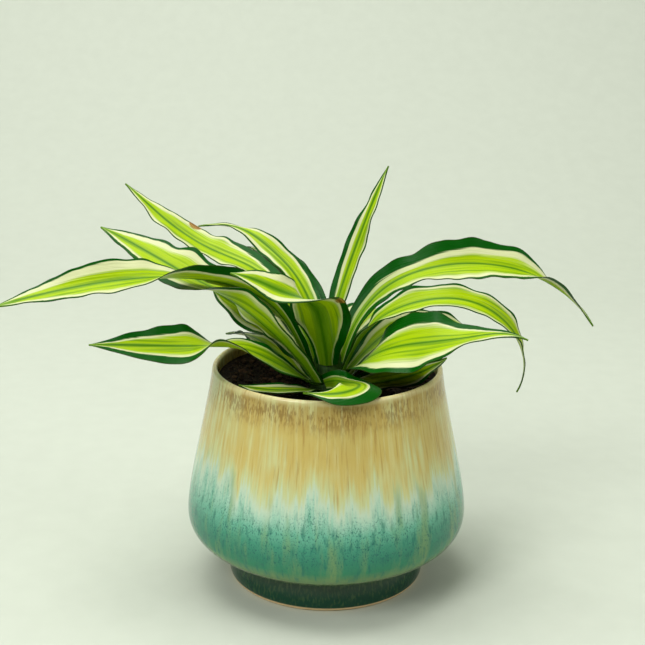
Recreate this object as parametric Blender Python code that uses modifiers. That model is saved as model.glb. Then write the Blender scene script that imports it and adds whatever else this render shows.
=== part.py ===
"""A variegated dracaena in a glazed ceramic pot: pot, soil, stem and a rosette of long leaves.

The pot's axis is Z and its foot stands on Z = 0. Sizes are in millimetres and degrees.
"""

from dataclasses import dataclass
import math

import bpy
import numpy as np

MM = 0.001
TOUCH_GAP = 0.3

# The pot is a belly on a short foot, drawn in towards a rounded rim.
POT_HEIGHT = 125.0
RIM_RADIUS = 64.6
RIM_WALL = 3.2
BELLY_RADIUS = 79.6
BELLY_HEIGHT = 40.0
FOOT_RADIUS = 56.4
FOOT_HEIGHT = 17.5
POT_WALL = 4.5
FLOOR_HEIGHT = 9.0
TURNED_SEGMENTS = 48

# The soil fills the pot to just under its rim and dips towards the stem.
SOIL_EDGE_HEIGHT = 118.0
SOIL_DIP = 7.2

# The stem stands in a blind hole in the soil and narrows towards its tip.
STEM_RADIUS = 10.0
STEM_TOP_RADIUS = 6.0
STEM_TAPER_FROM = 110.0
STEM_TAPER_TO = 140.0
STEM_FOOT = 70.0
STEM_TIP = 145.0
STEM_SEGMENTS = 24

# Each leaf is a thin blade whose base sits just clear of the stem.
LEAF_THICKNESS = 0.9
LEAF_SEAT_GAP = 0.5
LEAF_TIP_WIDTH = 1.6
LEAF_ROW_LENGTH = 7.0
LEAF_FEWEST_ROWS = 8
LEAF_COLUMNS = 4

# Linear RGB colours.
GLAZE_COLOUR = (0.36, 0.30, 0.15)
SOIL_COLOUR = (0.020, 0.014, 0.010)
STEM_COLOUR = (0.10, 0.16, 0.04)
LEAF_COLOUR = (0.30, 0.45, 0.03)


@dataclass
class Leaf:
    """One leaf. Heading, pitch and roll are read at even steps from its base to its tip.

    seat: side of the stem that it grows from, and height: its level there
    heading: turn from +X towards +Y, pitch: lift from the horizontal
    roll: turn of the blade about its midrib
    belly: share of the length where it is widest, neck: width of its base as a share of that
    tip: how pointed it ends, fold: rise of each half from the midrib, cup: curl over its width
    wave: size, number and start of the ripples along its edges
    """

    height: float
    length: float
    width: float
    seat: float
    heading: tuple
    pitch: tuple
    roll: tuple = (0, 0)
    belly: float = 0.42
    neck: float = 0.45
    tip: float = 0.9
    fold: float = 14
    cup: float = 0.0
    wave: tuple = (1.5, 2.5, 0)


LEAVES = {
    "leaf_left_reaching": Leaf(
        height=121.6, length=196, width=24, seat=200,
        heading=(200, 192, 191, 197, 199, 197, 200), pitch=(68, 57, 22, 6, -2, -9, -12),
        roll=(0, 30, 45, 50, 20, -28, -32, -30, -20),
        belly=0.6, neck=0.42, tip=0.75, fold=24, wave=(1.0, 3, 0.2)),
    "leaf_left_middle": Leaf(
        height=116.6, length=161, width=28, seat=229,
        heading=(219, 193, 167, 153, 151, 152, 155), pitch=(56, 49, 36, 20, 20, 20, 18),
        roll=(0, 25, 50, 55, 0, -25, -30, -25, -10),
        belly=0.6, neck=0.4, fold=16),
    "leaf_left_rising": Leaf(
        height=127.5, length=167, width=21.5, seat=150,
        heading=(144, 135, 144, 148, 151, 152, 155), pitch=(69, 47, 24.5, 12, 22.5, 33, 36),
        roll=(0, -5, -10, -15, -20, -20, -10),
        belly=0.5, neck=0.36, fold=18, wave=(0.8, 3, 0)),
    "leaf_left_low": Leaf(
        height=114.5, length=134, width=24, seat=222,
        heading=(220, 212, 206, 197, 194, 191, 188), pitch=(32, 35, 28, 5, 5, 4, 2),
        roll=(0, -15, -30, -15, 22, -35, -48, -48, -42),
        belly=0.62, neck=0.65, tip=1.1, fold=12, wave=(0.8, 2, 0.3)),
    "leaf_front_turned": Leaf(
        height=126.5, length=95, width=33, seat=268,
        heading=(264, 254, 252, 248, 225, 190, 178, 180, 186),
        pitch=(68, 64, 63, 60, 38, 20, 25, 20, 10), roll=(0, 0, 0, 8, 12, -5, -35, -35, -10),
        belly=0.38, neck=0.38, fold=12),
    "leaf_back_left": Leaf(
        height=126, length=133, width=15, seat=96,
        heading=(106, 115, 126, 138, 142, 150, 172), pitch=(52, 46, 42, 31, 24, 4, -12),
        roll=(0, -5, -15, -25, -25, -10, 0),
        neck=0.38, fold=16),
    "leaf_upright": Leaf(
        height=135, length=106, width=14, seat=86,
        heading=(74, 58, 44, 35, 32, 31, 28), pitch=(60, 63, 65, 66, 66, 64, 63),
        roll=(0, 0, 10, 15, 15, 15, 15), neck=0.42,
        wave=(0.6, 3, 0.3)),
    "leaf_right_arching": Leaf(
        height=124.5, length=184, width=28, seat=32,
        heading=(44, 26, 11, 6, 1, -8, -23), pitch=(70, 52, 23, 4, -12, -32, -56),
        roll=(0, 12, 24, 30, 34, 38, 38, 28, -15, -10, 0),
        belly=0.55, neck=0.35, tip=0.95, fold=22, wave=(1.2, 4, 0)),
    "leaf_right_hooked": Leaf(
        height=120.5, length=158, width=17, seat=338,
        heading=(-28, -18, -6, -4, -1, 0, 0), pitch=(70, 55, 25, 1, -34, -69, -118),
        roll=(0, 5, 25, 35, 35, 20, 0),
        fold=22, wave=(0.8, 3, 0)),
    "leaf_right_broad": Leaf(
        height=116.2, length=122, width=37, seat=325,
        heading=(-42, -47, -40, -28, -25, -20, -12), pitch=(44, 41, 27, 15, 14, 13, -22),
        roll=(0, 15, 35, 42, 42, 22, 15, 10),
        neck=0.3, tip=1.3, fold=8, wave=(1.0, 2, 0)),
    "leaf_right_behind": Leaf(
        height=116, length=101, width=21, seat=22,
        heading=(20, 38, 38, 29, 24, 21, 19), pitch=(50, 34, 24, 11, -6, -22, -38),
        roll=(0, 10, 20, 20, 20, 10, 0)),
    "leaf_right_low": Leaf(
        height=113.2, length=70, width=20, seat=347,
        heading=(-30, -42, -34, -31, -31, -33, -35), pitch=(16, 15, 18, 20, 27, 34, 38),
        roll=(0, -30, -55, -60, -55, -45, -30)),
    "leaf_front_curled": Leaf(
        height=116.8, length=86, width=24, seat=261,
        heading=(-66, -63, -62, -62, -70, -91, -127, -166, -194, -208),
        pitch=(28, 19, 12, 14, 14, 10, 0, -4, -3, -2),
        roll=(110, 95, 35, 14, 5, -1, -16, -24, -14, -4),
        belly=0.52, neck=0.38, tip=1.3, fold=0, cup=-0.05, wave=(0.5, 2, 0)),
    "leaf_front_short": Leaf(
        height=112.2, length=54, width=14, seat=244,
        heading=(238, 228, 222, 205, 175, 155), pitch=(16, 14, 12, 9, 6, 6),
        roll=(0, 0, -5, -10, -10, -5),
        neck=0.34, wave=(0.5, 2, 0)),
    "leaf_left_inner_upper": Leaf(
        height=118.6, length=76, width=17, seat=180,
        heading=(172, 155, 150, 148, 146), pitch=(60, 50, 36, 24, 12), roll=(0, 0, 5, 0, 0),
        neck=0.26),
    "leaf_left_inner_middle": Leaf(
        height=117.5, length=78, width=26, seat=157,
        heading=(150, 140, 147, 153, 155, 156), pitch=(46, 34, 29, 28, 26, 22),
        roll=(0, 0, -10, -20, -20, -10),
        belly=0.66, neck=0.32, tip=0.8),
    "leaf_left_inner_lower": Leaf(
        height=113.5, length=64, width=20, seat=164,
        heading=(152, 140, 144, 149, 152), pitch=(27.5, 26, 22, 8, -16), roll=(0, 0, 5, 5, 0),
        neck=0.37),
    "leaf_rear_right": Leaf(
        height=115.6, length=118, width=24, seat=70,
        heading=(70, 64, 63, 60, 59), pitch=(46, 28, -4, -34, -52),
        neck=0.3),
    "leaf_rear_middle": Leaf(
        height=119, length=120, width=20, seat=87.5,
        heading=(104, 113, 123, 133, 143, 150), pitch=(51, 48, 41, 25, 3, -20),
        roll=(0, -8, -12, -12, -8, 0),
        neck=0.36),
    "leaf_rear_left": Leaf(
        height=116, length=105, width=24, seat=124,
        heading=(116, 114, 112, 110, 109), pitch=(36, 18, -4, -28, -46),
        neck=0.4),
    "leaf_rear_low": Leaf(
        height=113.5, length=90, width=22, seat=38,
        heading=(38, 40, 44, 48, 50), pitch=(30, 20, 0, -22, -42)),
    "leaf_young": Leaf(
        height=135, length=26, width=12, seat=300,
        heading=(300, 300), pitch=(84, 80),
        fold=4, cup=0.16, wave=(0, 2, 0)),
}


def clear_scene():
    for obj in list(bpy.data.objects):
        bpy.data.objects.remove(obj)


def linked_collection(name):
    made = bpy.data.collections.new(name)
    bpy.context.scene.collection.children.link(made)
    return made


def plain_material(name, colour, roughness):
    made = bpy.data.materials.new(name)
    made.use_nodes = True
    shader = made.node_tree.nodes["Principled BSDF"]
    shader.inputs["Base Color"].default_value = (*colour, 1.0)
    shader.inputs["Roughness"].default_value = roughness
    shader.inputs["Metallic"].default_value = 0.0
    return made


def curved(start, pull_start, pull_end, end, steps):
    """Points on a cubic curve from start to end, without the first one."""
    points = []
    for step in range(1, steps + 1):
        t = step / steps
        weights = ((1 - t) ** 3, 3 * (1 - t) ** 2 * t, 3 * (1 - t) * t ** 2, t ** 3)
        corners = (start, pull_start, pull_end, end)
        points.append(tuple(sum(w * c[axis] for w, c in zip(weights, corners)) for axis in (0, 1)))
    return points


def turned(name, outline, segments, material, collection):
    """A solid of revolution from (radius, height) points that run down its outer side."""
    mesh = bpy.data.meshes.new(name)
    points = [(radius * MM, 0.0, height * MM) for radius, height in outline]
    mesh.from_pydata(points, [(k, k + 1) for k in range(len(points) - 1)], [])
    mesh.materials.append(material)
    obj = bpy.data.objects.new(name, mesh)
    collection.objects.link(obj)
    turn = obj.modifiers.new("turn", "SCREW")
    turn.steps = segments
    turn.render_steps = segments
    turn.use_merge_vertices = True
    turn.merge_threshold = 0.0001
    turn.use_smooth_shade = True
    return obj


def pot_inside():
    """The hollow's outline, as (radius, height) from its floor's centre up to the lip."""
    foot_wall = FOOT_RADIUS - 1.4 - POT_WALL
    widest = BELLY_RADIUS - POT_WALL
    foot_top = (foot_wall, FOOT_HEIGHT + 1.5)
    belly = (widest, BELLY_HEIGHT)
    bowl = curved(foot_top, (foot_wall + 12.0, 24.0), (widest, 29.0), belly, 4)
    wall = curved(belly, (widest, 56.0), (RIM_RADIUS - 1.0, 96.0),
                  (RIM_RADIUS - RIM_WALL, SOIL_EDGE_HEIGHT), 5)
    floor = [(0.0, FLOOR_HEIGHT), (foot_wall - 3.0, FLOOR_HEIGHT), (foot_wall, FLOOR_HEIGHT + 3.0)]
    return [*floor, foot_top, *bowl, *wall]


def pot_outside():
    """The outer outline, as (radius, height) from the rim down to the foot's flat underside."""
    shoulder = (RIM_RADIUS, POT_HEIGHT - 2.5)
    belly = (BELLY_RADIUS, BELLY_HEIGHT)
    foot_top = (FOOT_RADIUS - 1.4, FOOT_HEIGHT)
    wall = curved(shoulder, (RIM_RADIUS + 2.9, 100.0), (BELLY_RADIUS, 56.0), belly, 7)
    bowl = curved(belly, (BELLY_RADIUS, 26.0), (67.0, 21.0), foot_top, 6)
    foot = [(FOOT_RADIUS - 0.4, 12.0), (FOOT_RADIUS - 0.4, 3.0), (FOOT_RADIUS - 1.4, 0.8),
            (FOOT_RADIUS - 2.9, 0.0), (0.0, 0.0)]
    return [shoulder, *wall, *bowl, *foot]


def build_pot(collection):
    lip = [(RIM_RADIUS - 3.1, POT_HEIGHT - 1.8), (RIM_RADIUS - 2.7, POT_HEIGHT - 0.6),
           (RIM_RADIUS - 1.9, POT_HEIGHT), (RIM_RADIUS - 0.9, POT_HEIGHT - 0.4),
           (RIM_RADIUS - 0.2, POT_HEIGHT - 1.4)]
    outline = [*pot_inside(), *lip, *pot_outside()]
    glaze = plain_material("reactive_glaze", GLAZE_COLOUR, 0.15)
    return turned("pot", outline, TURNED_SEGMENTS, glaze, collection)


def build_soil(collection):
    """Soil as deep as the hollow, with a blind hole for the stem."""
    hole = STEM_RADIUS + TOUCH_GAP
    hole_floor = STEM_FOOT - TOUCH_GAP
    edge = RIM_RADIUS - RIM_WALL - TOUCH_GAP
    dish = []
    for step in range(6):
        share = step / 5
        dish.append((hole + (edge - hole) * share, SOIL_EDGE_HEIGHT - SOIL_DIP * (1 - share ** 2.5)))
    sides = [(radius - TOUCH_GAP, height + TOUCH_GAP) for radius, height in pot_inside()[1:-1]]
    outline = [(0.0, hole_floor), (hole, hole_floor), *dish, *reversed(sides)]
    outline.append((0.0, FLOOR_HEIGHT + TOUCH_GAP))
    earth = plain_material("potting_soil", SOIL_COLOUR, 0.95)
    return turned("soil", outline, TURNED_SEGMENTS, earth, collection)


def stem_radius(height):
    share = (height - STEM_TAPER_FROM) / (STEM_TAPER_TO - STEM_TAPER_FROM)
    return STEM_RADIUS + (STEM_TOP_RADIUS - STEM_RADIUS) * min(max(share, 0.0), 1.0)


def build_stem(collection):
    outline = [(0.0, STEM_TIP), (2.5, STEM_TIP - 0.5), (5.0, STEM_TIP - 2.5),
               (STEM_TOP_RADIUS, STEM_TAPER_TO), (STEM_RADIUS, STEM_TAPER_FROM),
               (STEM_RADIUS, STEM_FOOT + 1.0), (STEM_RADIUS - 1.0, STEM_FOOT), (0.0, STEM_FOOT)]
    bark = plain_material("stem_bark", STEM_COLOUR, 0.7)
    return turned("stem", outline, STEM_SEGMENTS, bark, collection)


def along(values, share):
    """A smooth curve through evenly spaced values, read at each share of its length."""
    knots = np.array(values, float)
    last = len(knots) - 1
    place = np.clip(share, 0.0, 1.0) * last
    low = np.minimum(place.astype(int), last - 1)
    t = place - low
    ends = np.concatenate([[2 * knots[0] - knots[1]], knots, [2 * knots[last] - knots[last - 1]]])
    before, here, there, after = (ends[low + k] for k in range(4))
    bend = 2 * before - 5 * here + 4 * there - after
    swing = 3 * here - before - 3 * there + after
    return 0.5 * (2 * here + (there - before) * t + bend * t ** 2 + swing * t ** 3)


def midrib_direction(leaf, share):
    """Unit vectors along the midrib at each share of the leaf's length."""
    heading = np.radians(along(leaf.heading, share))
    pitch = np.radians(along(leaf.pitch, share))
    flat = np.cos(pitch)
    return np.stack([flat * np.cos(heading), flat * np.sin(heading), np.sin(pitch)], 1)


def midrib_points(leaf, share):
    """Points along the midrib, from the leaf's seat on the stem."""
    fine = np.linspace(0.0, 1.0, 401)
    ahead = midrib_direction(leaf, fine)
    steps = (ahead[1:] + ahead[:-1]) / 2 * leaf.length / (len(fine) - 1)
    run = np.vstack([np.zeros(3), np.cumsum(steps, 0)])
    seat = math.radians(leaf.seat)
    out = stem_radius(leaf.height) + LEAF_SEAT_GAP + LEAF_THICKNESS / 2
    base = np.array([out * math.cos(seat), out * math.sin(seat), leaf.height])
    return base + np.stack([np.interp(share, fine, run[:, axis]) for axis in range(3)], 1)


def blade_width(leaf, share):
    """Width along the leaf: a narrow clasping base, a belly and a drawn-out tip."""
    rise = leaf.neck + (1 - leaf.neck) * np.sin(np.pi / 2 * np.clip(share / leaf.belly, 0, 1)) ** 2
    fall = np.cos(np.pi / 2 * np.clip((share - leaf.belly) / (1 - leaf.belly), 0, 1)) ** leaf.tip
    shape = np.where(share < leaf.belly, rise, fall)
    return np.maximum(leaf.width * shape, LEAF_TIP_WIDTH)


def blade_lift(leaf, share, across, out):
    """Rise of the blade above its midrib's plane from its fold and its rippled edges."""
    crease = 0.8
    fold_share = np.clip(share / 0.15, 0, 1) * np.clip((1.05 - share) / 0.3, 0, 1)
    fold = np.tan(math.radians(leaf.fold) * fold_share)
    size, count, start = leaf.wave
    wave_share = np.clip(share / 0.25, 0, 1) * np.clip((1 - share) / 0.2, 0, 1)
    phase = 2 * np.pi * (count * share + start + 0.22 * np.sign(across))
    ripple = size * wave_share * np.abs(across) ** 1.6 * np.sin(phase)
    return (np.sqrt(out ** 2 + crease ** 2) - crease) * fold + ripple


def blade_points(leaf, share, across):
    """Points of the blade's middle surface. across runs from -1 to 1 over its width."""
    ahead = midrib_direction(leaf, share)
    heading = np.radians(along(leaf.heading, share))
    roll = np.radians(along(leaf.roll, share))[:, None]
    level = np.stack([-np.sin(heading), np.cos(heading), np.zeros_like(heading)], 1)
    upright = np.cross(ahead, level)
    side = level * np.cos(roll) + upright * np.sin(roll)
    up = upright * np.cos(roll) - level * np.sin(roll)

    out = blade_width(leaf, share) / 2 * across
    clasp = np.clip(1 - share / 0.22, 0, 1) ** 1.5
    clasp_curve = 1 / (stem_radius(leaf.height) + 4.0)
    curve = clasp * clasp_curve + (1 - clasp) * leaf.cup + 1e-6
    sideways = np.sin(curve * out) / curve
    lift = (1 - np.cos(curve * out)) / curve + blade_lift(leaf, share, across, out)
    return midrib_points(leaf, share) + side * sideways[:, None] + up * lift[:, None]


def build_leaf(name, leaf, material, collection):
    """A flat grid laid along the leaf's curve and thickened to both sides."""
    rows = max(LEAF_FEWEST_ROWS, round(leaf.length / LEAF_ROW_LENGTH))
    bpy.ops.mesh.primitive_grid_add(x_subdivisions=rows, y_subdivisions=LEAF_COLUMNS, size=1.0,
                                    location=(0.0, 0.0, 0.0))
    obj = bpy.context.active_object
    obj.name = name
    for owner in list(obj.users_collection):
        owner.objects.unlink(obj)
    collection.objects.link(obj)

    mesh = obj.data
    mesh.name = name
    flat = np.empty(len(mesh.vertices) * 3)
    mesh.vertices.foreach_get("co", flat)
    flat = flat.reshape(-1, 3)
    shaped = blade_points(leaf, flat[:, 0] + 0.5, flat[:, 1] * 2) * MM
    mesh.vertices.foreach_set("co", shaped.ravel())
    mesh.materials.append(material)
    mesh.shade_smooth()

    facets = obj.modifiers.new("facets", "TRIANGULATE")
    facets.quad_method = "FIXED"
    blade = obj.modifiers.new("blade", "SOLIDIFY")
    blade.thickness = LEAF_THICKNESS * MM
    blade.offset = 0.0
    return obj


def build_plant(collection):
    build_stem(collection)
    blade_material = plain_material("leaf_blade", LEAF_COLOUR, 0.35)
    for name, leaf in LEAVES.items():
        build_leaf(name, leaf, blade_material, collection)


clear_scene()
dracaena = linked_collection("potted_dracaena")
build_pot(dracaena)
build_soil(dracaena)
build_plant(dracaena)
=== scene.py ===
"""Potted dracaena: a glazed pot of soil with a rosette of striped, arching leaves."""

from dataclasses import dataclass
import math

import bmesh
import bpy
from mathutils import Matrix, Vector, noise
import numpy as np


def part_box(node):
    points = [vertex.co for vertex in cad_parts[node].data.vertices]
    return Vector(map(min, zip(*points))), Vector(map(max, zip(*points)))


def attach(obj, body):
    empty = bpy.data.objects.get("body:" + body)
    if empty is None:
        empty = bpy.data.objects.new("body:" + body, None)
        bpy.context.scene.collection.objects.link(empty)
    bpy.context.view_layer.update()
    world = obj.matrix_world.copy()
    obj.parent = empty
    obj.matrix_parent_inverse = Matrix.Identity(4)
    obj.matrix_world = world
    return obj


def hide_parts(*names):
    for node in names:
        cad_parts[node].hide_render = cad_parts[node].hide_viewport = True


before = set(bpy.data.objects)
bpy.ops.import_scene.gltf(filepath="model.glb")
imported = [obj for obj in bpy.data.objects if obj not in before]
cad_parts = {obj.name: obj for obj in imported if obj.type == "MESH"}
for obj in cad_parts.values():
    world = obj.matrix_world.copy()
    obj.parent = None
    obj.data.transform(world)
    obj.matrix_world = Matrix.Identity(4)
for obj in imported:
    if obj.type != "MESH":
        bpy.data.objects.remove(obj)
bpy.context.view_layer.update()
bpy.ops.object.select_all(action="DESELECT")
MM = 0.001


# Pot. Slip-cast stoneware with a full belly on a short foot, and a tan glaze that ran down in
# the kiln over a teal one. It is raised here ring by ring from its foot, over the rounded lip
# and down inside to its floor.
POT_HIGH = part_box("pot")[1] / MM
POT_HEIGHT = POT_HIGH.z
BELLY_RADIUS = POT_HIGH.x
BELLY_HEIGHT = 40.0
RIM_RADIUS = 64.6
RIM_WALL = 3.2
LIP_RISE = 2.5
LIP_STEPS = 12
FOOT_RADIUS = 56.4
FOOT_HEIGHT = 17.5
FOOT_WAIST = 1.4
FOOT_ROUNDING = 3.0
POT_WALL = 4.5
POT_FLOOR = 9.0
FLOOR_ROUNDING = 3.0
SOIL_EDGE_HEIGHT = 118.0
POT_SEGMENTS = 160


def curved(start, pull_start, pull_end, end, steps):
    """Points on a cubic curve from start to end, without the first one."""
    points = []
    for step in range(1, steps + 1):
        t = step / steps
        weights = ((1 - t) ** 3, 3 * (1 - t) ** 2 * t, 3 * (1 - t) * t ** 2, t ** 3)
        corners = (start, pull_start, pull_end, end)
        points.append(tuple(sum(w * c[axis] for w, c in zip(weights, corners)) for axis in (0, 1)))
    return points


def pot_outside():
    """The outer outline, as (radius, height) from the foot's underside up to the shoulder."""
    stand = (FOOT_RADIUS - FOOT_ROUNDING, 0.0)
    foot_side = (FOOT_RADIUS, 7.5)
    foot_top = (FOOT_RADIUS - FOOT_WAIST, FOOT_HEIGHT)
    belly = (BELLY_RADIUS, BELLY_HEIGHT)
    shoulder = (RIM_RADIUS, POT_HEIGHT - LIP_RISE)
    foot = curved(stand, (FOOT_RADIUS - 1.0, 0.0), (FOOT_RADIUS, 2.0), foot_side, 8)
    waist = curved(foot_side, (FOOT_RADIUS, 12.0), (FOOT_RADIUS - 1.6, 15.5), foot_top, 5)
    bowl = curved(foot_top, (67.0, 21.0), (BELLY_RADIUS, 26.0), belly, 22)
    wall = curved(belly, (BELLY_RADIUS, 56.0), (RIM_RADIUS + 2.9, 100.0), shoulder, 26)
    return [stand, *foot, *waist, *bowl, *wall]


def pot_inside():
    """The hollow's outline, as (radius, height) from under the lip down to the floor."""
    widest = BELLY_RADIUS - POT_WALL
    foot_wall = FOOT_RADIUS - FOOT_WAIST - POT_WALL
    soil_line = (RIM_RADIUS - RIM_WALL, SOIL_EDGE_HEIGHT)
    wall = curved(soil_line, (RIM_RADIUS - 1.0, 96.0), (widest, 56.0), (widest, BELLY_HEIGHT), 10)
    bowl = curved((widest, BELLY_HEIGHT), (widest, 29.0), (foot_wall + 12.0, 24.0),
                  (foot_wall, FOOT_HEIGHT + 1.5), 8)
    corner = [(foot_wall, POT_FLOOR + FLOOR_ROUNDING), (foot_wall - FLOOR_ROUNDING, POT_FLOOR)]
    return [soil_line, *wall, *bowl, *corner]


def raise_rings(name, outline, segments):
    """A turned solid, extruded ring by ring along (radius, height) points from a flat disc."""
    first_radius, first_height = outline[0]
    bpy.ops.mesh.primitive_circle_add(vertices=segments, radius=first_radius * MM, fill_type="NGON",
                                      location=(0.0, 0.0, first_height * MM))
    bpy.ops.object.transform_apply(location=True)
    piece = bpy.context.active_object
    piece.name = name
    piece.data.name = name
    bpy.ops.object.mode_set(mode="EDIT")
    bpy.ops.mesh.select_all(action="SELECT")
    radius, height = first_radius, first_height
    for next_radius, next_height in outline[1:]:
        bpy.ops.mesh.extrude_region_move(
            TRANSFORM_OT_translate={"value": (0.0, 0.0, (next_height - height) * MM)})
        bpy.ops.transform.resize(value=(next_radius / radius, next_radius / radius, 1.0),
                                 center_override=(0.0, 0.0, next_height * MM))
        radius, height = next_radius, next_height
    bpy.ops.mesh.select_all(action="SELECT")
    bpy.ops.mesh.normals_make_consistent(inside=False)
    bpy.ops.object.mode_set(mode="OBJECT")
    bpy.ops.object.shade_smooth_by_angle(angle=math.radians(50.0))
    return piece


lip = []
for step in range(1, LIP_STEPS):
    angle = math.pi * step / LIP_STEPS
    lip.append((RIM_RADIUS - RIM_WALL / 2 + RIM_WALL / 2 * math.cos(angle),
                POT_HEIGHT - LIP_RISE + LIP_RISE * math.sin(angle)))
lip.append((RIM_RADIUS - RIM_WALL, POT_HEIGHT - LIP_RISE))
pot = raise_rings("glazed_pot", [*pot_outside(), *lip, *pot_inside()], POT_SEGMENTS)


def linear(red, green, blue):
    """A shader colour from the colour's 0 to 255 values as seen."""
    shares = [value / 255 for value in (red, green, blue)]
    return (*(s / 12.92 if s <= 0.04045 else ((s + 0.055) / 1.055) ** 2.4 for s in shares), 1.0)


def new_material(name):
    """A material with its node tree and its Principled shader."""
    made = bpy.data.materials.new(name)
    made.use_nodes = True
    tree = made.node_tree
    return made, tree, tree.nodes["Principled BSDF"]


def maths(tree, operation, *values):
    """A Math node on numbers or sockets, and its result."""
    node = tree.nodes.new("ShaderNodeMath")
    node.operation = operation
    for socket, value in zip(node.inputs, values):
        if isinstance(value, bpy.types.NodeSocket):
            tree.links.new(value, socket)
        else:
            socket.default_value = value
    return node.outputs[0]


def product(tree, *factors):
    """Numbers or sockets multiplied together."""
    made = factors[0]
    for factor in factors[1:]:
        made = maths(tree, "MULTIPLY", made, factor)
    return made


def above(tree, value, low, high):
    """0 below low, 1 above high and a smooth rise between them."""
    node = tree.nodes.new("ShaderNodeMapRange")
    node.interpolation_type = "SMOOTHSTEP"
    tree.links.new(value, node.inputs["Value"])
    node.inputs["From Min"].default_value = low
    node.inputs["From Max"].default_value = high
    return node.outputs["Result"]


def below(tree, value, low, high):
    """1 below low, 0 above high and a smooth fall between them."""
    return maths(tree, "SUBTRACT", 1.0, above(tree, value, low, high))


def blended(tree, share, first, second):
    """A Mix node on two colours or sockets, by a share or socket."""
    node = tree.nodes.new("ShaderNodeMix")
    node.data_type = "RGBA"
    for socket, value in zip((node.inputs[0], node.inputs[6], node.inputs[7]), (share, first, second)):
        if isinstance(value, bpy.types.NodeSocket):
            tree.links.new(value, socket)
        else:
            socket.default_value = value
    return node.outputs[2]


def colour_steps(tree, share, steps):
    """A colour ramp: steps are (place from 0 to 1, colour)."""
    node = tree.nodes.new("ShaderNodeValToRGB")
    tree.links.new(share, node.inputs[0])
    stops = node.color_ramp.elements
    while len(stops) < len(steps):
        stops.new(0.5)
    for stop, (place, colour) in zip(stops, steps):
        stop.position = place
        stop.color = colour
    return node.outputs["Color"]


def grain_group():
    """Noise from 0 to 1 over a place, shifted and stretched along each axis."""
    group = bpy.data.node_groups.new("grain", "ShaderNodeTree")
    for label in ("Place", "Shift", "Stretch"):
        group.interface.new_socket(label, in_out="INPUT", socket_type="NodeSocketVector")
    for label in ("Scale", "Detail"):
        group.interface.new_socket(label, in_out="INPUT", socket_type="NodeSocketFloat")
    group.interface.new_socket("Grain", in_out="OUTPUT", socket_type="NodeSocketFloat")
    given = group.nodes.new("NodeGroupInput").outputs
    made = group.nodes.new("NodeGroupOutput").inputs

    mapping = group.nodes.new("ShaderNodeMapping")
    group.links.new(given["Place"], mapping.inputs["Vector"])
    group.links.new(given["Shift"], mapping.inputs["Location"])
    group.links.new(given["Stretch"], mapping.inputs["Scale"])
    speckle = group.nodes.new("ShaderNodeTexNoise")
    group.links.new(mapping.outputs["Vector"], speckle.inputs["Vector"])
    group.links.new(given["Scale"], speckle.inputs["Scale"])
    group.links.new(given["Detail"], speckle.inputs["Detail"])
    group.links.new(speckle.outputs["Fac"], made["Grain"])
    return group


fine_grain = grain_group()


def grain(tree, place, scale, stretch=(1.0, 1.0, 1.0), shift=0.0, detail=2.0):
    """The grain group placed in a material or group, with its own values."""
    node = tree.nodes.new("ShaderNodeGroup")
    node.node_tree = fine_grain
    tree.links.new(place, node.inputs["Place"])
    node.inputs["Shift"].default_value = (shift, shift, shift)
    node.inputs["Stretch"].default_value = stretch
    node.inputs["Scale"].default_value = scale
    node.inputs["Detail"].default_value = detail
    return node.outputs["Grain"]


def raised(tree, height, distance, strength):
    """A Bump node's normal, for a height from 0 to 1 over a distance in metres."""
    node = tree.nodes.new("ShaderNodeBump")
    node.inputs["Strength"].default_value = strength
    node.inputs["Distance"].default_value = distance
    tree.links.new(height, node.inputs["Height"])
    return node.outputs["Normal"]


def round_the_pot(tree):
    """Position on the wall: its direction from the axis in X and Y, and its height in millimetres."""
    place = tree.nodes.new("ShaderNodeTexCoord").outputs["Object"]
    split = tree.nodes.new("ShaderNodeSeparateXYZ")
    tree.links.new(place, split.inputs[0])
    flat = tree.nodes.new("ShaderNodeCombineXYZ")
    tree.links.new(split.outputs["X"], flat.inputs["X"])
    tree.links.new(split.outputs["Y"], flat.inputs["Y"])
    ring = tree.nodes.new("ShaderNodeVectorMath")
    ring.operation = "NORMALIZE"
    tree.links.new(flat.outputs[0], ring.inputs[0])
    ring_split = tree.nodes.new("ShaderNodeSeparateXYZ")
    tree.links.new(ring.outputs[0], ring_split.inputs[0])
    height = maths(tree, "MULTIPLY", split.outputs["Z"], 1000.0)
    joined = tree.nodes.new("ShaderNodeCombineXYZ")
    tree.links.new(ring_split.outputs["X"], joined.inputs["X"])
    tree.links.new(ring_split.outputs["Y"], joined.inputs["Y"])
    tree.links.new(height, joined.inputs["Z"])
    return joined.outputs[0], ring_split.outputs["X"], height


# The drips that move the border of the two glazes: how fine they are, how fast they change
# down the wall, where their pattern starts, its detail, and their size in millimetres.
DRIPS = ((11.0, 0.0006, 3.1, 0.0, 26.0), (4.2, 0.0, 7.7, 1.0, 24.0), (60.0, 0.0012, 1.3, 2.0, 20.0))
SIDE_DROP = -6.5
MELT_STARTS = (50.0, 76.0)
MELT_ENDS = (84.0, 112.0)


def wall_streaks(tree, wall, scale, change, shift, detail):
    """Grain round the pot, drawn out down its wall: the smaller the change, the longer."""
    return grain(tree, wall, scale, (1.0, 1.0, change), shift, detail)


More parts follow.
